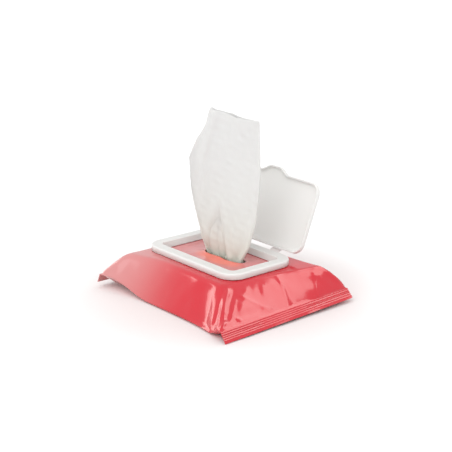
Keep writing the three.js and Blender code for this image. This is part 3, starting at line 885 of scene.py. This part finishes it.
def makeStrap(node, material):
    low, high = inMillimetres(node)
    axis, openAngle = hingeAxis()
    # a web from the frame's back wall up to the lid's back wall, bent softly and thinnest at the bend
    out = np.array([-math.cos(openAngle), math.sin(openAngle)])
    back = np.array([math.sin(openAngle), math.cos(openAngle)])
    half = strapShape["thickness"] / 2
    lidSink, lidRise = strapShape["lidFoot"]
    lidEnd = out * (lidShape["backGap"] - lidSink - half) + back * lidRise
    frameEnd = np.array(strapShape["frameFoot"]) + np.array([half, 0])
    elbow = np.array([frameEnd[0] + strapShape["elbow"][0], strapShape["elbow"][1]])
    t = np.linspace(0, 1, 19)[:, None]
    path = (1 - t) ** 2 * frameEnd + 2 * t * (1 - t) * elbow + t ** 2 * lidEnd
    along = np.gradient(path, axis=0)
    along /= np.linalg.norm(along, axis=1, keepdims=True)
    across = np.stack([-along[:, 1], along[:, 0]], -1)
    thin = half + (strapShape["thinnest"] / 2 - half) * np.exp(-((t[:, 0] - 0.5) / 0.16) ** 2)
    # the section is a flat bar with rounded edges, carried along the path
    angle = np.linspace(0, math.tau, 29)[:-1]
    roundX = np.sign(np.cos(angle)) * np.abs(np.cos(angle)) ** 0.25
    roundY = np.sign(np.sin(angle)) * np.abs(np.sin(angle)) ** 0.5
    centreX = (low[0] + high[0]) / 2
    x = centreX + (high[0] - low[0]) / 2 * roundX[None, :] + 0 * t
    yz = path[:, None, :] + across[:, None, :] * (thin[:, None] * roundY[None, :])[..., None] + axis[1:]
    points = np.concatenate([x[..., None], yz], -1)
    points, quads, caps = cappedTube(points, [points[0].mean(0), points[-1].mean(0)])
    name = "hingeStrapLeft" if "left" in node else "hingeStrapRight"
    piece = makePiece(name, points, quads, material, 50, triangles=caps)
    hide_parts(node)
    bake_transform(piece)


wipeSize = (180.0, 150.0)  # one flat wipe, across the pack and along the pull
stackShape = {"count": 18, "layer": 0.17, "bend": 0.84, "thickness": 0.12}
pulled = {
    "heights": (24, 27, 36, 55, 80, 93, 108, 118, 128),  # above the table
    # the two edges at those heights, along the wipe's own width from the slot's middle
    "left": (-17.6, -18, -20.2, -23.5, -26.5, -27.5, -27.5, -27.5, -27.5),
    "right": (16.2, 17, 21, 25, 26.5, 26.5, 25.4, 24.6, 24.2),
    "depth": (2.2, 3.2, 4.0, 3.2, 2.2, 1.9, 1.7, 1.6, 1.6),
    "turn": (2, 4, 10, 16, 20, 22, 24, 25, 25),
    "topAlong": (-27.5, -21.5, -14.5, -11.5, -10.5, -7, 4, 8, 23.5, 27),
    "topHeight": (93, 107, 117.0, 127.0, 129.4, 127.8, 125.4, 123.8, 122.6, 120.5),
    "passes": 3,  # times the sheet crosses its own width
    "innerDrop": 4,  # how much lower the layer between front and back ends
    "foldDepth": 0.14,  # share of the depth that is left at the two side folds
    "gathers": (0.7, 0.1, 20, 10.5),  # depth at the slot, depth above, how fast they die away, number
    "slowWaves": (0.8, 26),  # height and length
    "smallWaves": (0.12, 6),
    "topWaves": (0.45, 13),
    "tongueLeft": ((26, 39, 66), (-18, -14, -4)),  # heights, and where its edge is at each
    "tongueRight": ((26, 40, 66), (3.5, 0.5, -4)),
    "tongueDepth": 2.0,
    "lap": (0.8, 2.4),  # height and width
    "pleatLine": ((60, 90, 127), (-14, -17, -7)),
    "pleat": (0.8, 2.6),
    "pleatValley": (0.6, 4.0),
    "wetness": (26, 24, 0.85),  # it falls from this height, over this length, from this share
    "columns": 168,
    "rows": 112,
    "tailRows": 34,
    "thickness": 0.3,
}
tailShape = {
    "entry": ((0, 24.0), (0.1, 23.75), (0.4, 23.55), (1.0, 23.48)),  # away from the slot, and height
    "run": 21.5,
    "bend": 0.42,  # radius of the fold at the end of the run
    "spread": (12, 11, 18),  # how far the left and right edges open, and over what length
    "depth": (0.14, 1.9, 0.5),  # deep in the tail, added at the slot, and how fast that dies away
}


def makeFoldedWipe(index, material):
    # the sheet doubled end to end, then folded to a V round its neighbours' panels, folds left and right by turns
    node = f"wipe_{index + 1:02d}"
    low, high = inMillimetres(node)
    bend, half = stackShape["bend"], stackShape["layer"] / 2
    side = 1 if index % 2 == 0 else -1
    middleY, middleZ = (low[1] + high[1]) / 2, (low[2] + high[2]) / 2
    halfY = (high[1] - low[1]) / 2
    reach = 2 * halfY - bend - 2 * half
    # v runs along the V: out on the upper leaf, round the bend, back on the lower leaf
    leaf = np.linspace(0, 1, 14)
    level = np.ones_like(leaf)
    turn = np.linspace(math.pi / 2, -math.pi / 2, 11)[1:-1]
    start = -halfY
    vOut = start + reach * leaf
    vY = np.concatenate([vOut, start + reach + bend * np.cos(turn), vOut[::-1]])
    normalY = np.concatenate([0 * level, np.cos(turn), 0 * level])
    normalZ = np.concatenate([level, np.sin(turn), -level])
    vZ = bend * normalZ
    # u runs along the doubled length: out, round a tight fold, and back just under itself
    fold = np.linspace(0, math.pi, 7)[1:-1]
    halfX = (high[0] - low[0]) / 2
    uOut = np.linspace(-halfX, halfX - half, 12)
    uX = np.concatenate([uOut, halfX - half + half * np.sin(fold), uOut[::-1]])
    uOff = half * np.concatenate([np.ones(12), np.cos(fold), -np.ones(12)])
    x = (low[0] + high[0]) / 2 + uX[:, None] + 0 * vY[None, :]
    y = middleY + side * (vY[None, :] + normalY[None, :] * uOff[:, None])
    z = middleZ + vZ[None, :] + normalZ[None, :] * uOff[:, None]
    points = np.stack([x, y, z], -1)
    quads = gridQuads(*points.shape[:2])
    flat = np.meshgrid(runningLength(uX, uOff), runningLength(vY, vZ), indexing="ij")
    uv = np.stack(flat, -1) * millimetre
    name = f"foldedWipe{index + 1:02d}"
    wet = np.full(points.shape[:2], 0.8)
    piece = makePiece(name, points, quads, material, 60, uv=uv, values={"wetness": wet})
    giveThickness(piece, "clothThickness", stackShape["thickness"], 0)
    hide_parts(node)
    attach(piece, "pack_body")
    below = f"foldedWipe{index + 2:02d}" if index < stackShape["count"] - 1 else "filmPouch"
    return piece, below


def sheetFold(offset, shape):
    # a soft ridge with the height and width of its shape, offset from its line
    height, width = shape
    return height * np.exp(-(offset / width) ** 2)


def acrossWidth(s):
    # 0 at the left fold and 1 at the right, as the sheet passes to and fro
    return (1 - np.cos(pulled["passes"] * math.pi * s)) / 2


def pulledSheetAbove(s, h):
    # s crosses the sheet from 0 to 1, h rises from the slot to the top edge
    bottom, tip = pulled["heights"][0], max(pulled["topHeight"])
    height = bottom + (tip - bottom) * h
    left, right = (np.interp(height, pulled["heights"], pulled[edge]) for edge in ("left", "right"))
    unit = acrossWidth(s)
    along = left + (right - left) * unit
    inner = smoothStep(0.34, 0.44, s) * (1 - smoothStep(0.56, 0.66, s))
    top = np.interp(along, pulled["topAlong"], pulled["topHeight"]) - pulled["innerDrop"] * inner
    top = top + wavesOf(pulled["topWaves"], along, 12 * s, 51) - 0.4
    z = bottom + (top - bottom) * h
    depth = np.interp(z, pulled["heights"], pulled["depth"])
    turn = np.radians(np.interp(z, pulled["heights"], pulled["turn"]))
    foldDepth = pulled["foldDepth"]
    envelope = foldDepth + (1 - foldDepth) * np.sin(math.pi * np.clip(unit, 0, 1)) ** 0.6
    across = depth * (1 - 2 * s) * envelope
    # gathers start at the slot and fan out up the sheet, dying away as it opens
    atSlot, aboveSlot, fading, number = pulled["gathers"]
    gather = atSlot * np.exp(-(z - bottom) / fading) + aboveSlot
    across += gather * np.cos(math.tau * (number * s + 0.35 * softNoise(40 * s, 0.25 * z, 30, 52)))
    # above the gathers all the layers bend together, in slow upright waves
    across += wavesOf(pulled["slowWaves"], along, 0.3 * z, 53) * smoothStep(30, 70, z)
    across += wavesOf(pulled["smallWaves"], along, z, 54)
    # the front layer parts like curtains over a sunk tongue, an upside-down V above the slot
    front = smoothStep(0.66, 0.74, s)
    leftSide, rightSide = np.interp(z, *pulled["tongueLeft"]), np.interp(z, *pulled["tongueRight"])
    tongue = smoothStep(-1.5, 4.0, along - leftSide) * smoothStep(-0.8, 1.6, rightSide - along)
    across += front * tongue * (1 - smoothStep(50, 66, z)) * pulled["tongueDepth"]
    # one panel laps over the other along the tongue's right side, and a soft pleat follows the left slope
    across -= front * sheetFold(along - rightSide - 2, pulled["lap"]) * (1 - smoothStep(58, 84, z))
    pleat, opened = np.interp(z, *pulled["pleatLine"]), smoothStep(48, 76, z)
    across -= sheetFold(along - pleat, pulled["pleat"]) * opened
    across += sheetFold(along - pleat - 6, pulled["pleatValley"]) * opened
    x = along * np.cos(turn) - across * np.sin(turn)
    y = along * np.sin(turn) + across * np.cos(turn)
    return np.stack([x, y, z], -1)


def pulledSheetTail(s, tailLength, rows):
    # below the slot the sheet turns under the film, runs back over the stack and folds forward again
    entry = np.array(tailShape["entry"])
    start, level = entry[-1]
    run, bend = tailShape["run"], tailShape["bend"]
    share, angle = np.linspace(0, 1, 13)[1:], np.linspace(0, math.pi, 7)[1:]
    out = np.column_stack([start + run * share, level + 0 * share])
    fold = np.column_stack([start + run + bend * np.sin(angle), level - bend + bend * np.cos(angle)])
    back = np.column_stack([start + run * (1 - share), level - 2 * bend + 0 * share])
    path = np.concatenate([entry, out, fold, back])
    length = runningLength(path[:, 0], path[:, 1])
    at = np.linspace(0, min(tailLength, length[-1]), rows + 1)[1:]
    y, z = np.interp(at, length, path[:, 0]), np.interp(at, length, path[:, 1])
    tangent = np.stack([np.gradient(y), np.gradient(z)], -1)
    tangent /= np.linalg.norm(tangent, axis=1, keepdims=True)
    openLeft, openRight, openLength = tailShape["spread"]
    opened = smoothStep(0, openLength, at)[:, None]
    left, right = pulled["left"][0] - openLeft * opened, pulled["right"][0] + openRight * opened
    deep, atSlot, fading = tailShape["depth"]
    across = (deep + atSlot * np.exp(-at / fading))[:, None] * (1 - 2 * s)
    along = left + (right - left) * acrossWidth(s)
    turn = math.radians(pulled["turn"][0])
    x = along * math.cos(turn)
    y = y[:, None] + along * math.sin(turn) - tangent[:, 1:2] * across
    z = z[:, None] + tangent[:, 0:1] * across
    return np.stack([x, y, z], -1)


def makePulledWipe(material):
    frameLow, frameHigh = inMillimetres("lid_frame")
    slotMiddle = (frameLow + frameHigh)[:2] / 2 + np.array(slotShape["offset"])
    s = np.linspace(0, 1, pulled["columns"] + 1)
    h = np.linspace(0, 1, pulled["rows"] + 1)
    above = pulledSheetAbove(s[None, :], h[:, None])
    rise = max(pulled["topHeight"]) - pulled["heights"][0]
    tailLength = wipeSize[1] - rise
    tail = pulledSheetTail(s[None, :], tailLength, pulled["tailRows"])
    points = np.concatenate([tail[::-1], above])
    points[..., :2] += slotMiddle
    quads = gridQuads(*points.shape[:2])
    v = np.concatenate([np.linspace(0, tailLength, pulled["tailRows"] + 1)[:-1], tailLength + rise * h])
    uv = np.stack(np.meshgrid(s * wipeSize[0], v), -1) * millimetre
    wetFrom, wetLength, wetMost = pulled["wetness"]
    wet = np.concatenate([np.ones(tail.shape[:2]), np.exp(-(above[..., 2] - wetFrom) / wetLength) * wetMost])
    piece = makePiece("pulledWipe", points, quads, material, 70, uv=uv, values={"wetness": np.clip(wet, 0, 1)})
    giveThickness(piece, "clothThickness", pulled["thickness"], 0)
    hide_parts("pulled_wipe")
    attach(piece, "pack_body")
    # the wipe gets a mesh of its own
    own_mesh(piece)


def makeWipeStack(material):
    made = [makeFoldedWipe(index, material) for index in range(stackShape["count"])]


setUpCamera()
setUpFloor()
setUpLight()
print("camera, floor and light are set")

coralFilm = makeCoralFilm()
whitePolypropylene = makeWhitePolypropylene()
wetNonwoven = makeWetNonwoven()
print("materials are made")

makeFilmPouch(coralFilm)
print("film pouch is made")
makeFrame(whitePolypropylene)
makeLid(whitePolypropylene)
makeStrap("hinge_strap_left", whitePolypropylene)
makeStrap("hinge_strap_right", whitePolypropylene)
print("frame, lid and hinge straps are made")
makeWipeStack(wetNonwoven)
makePulledWipe(wetNonwoven)
print("wipes are made")
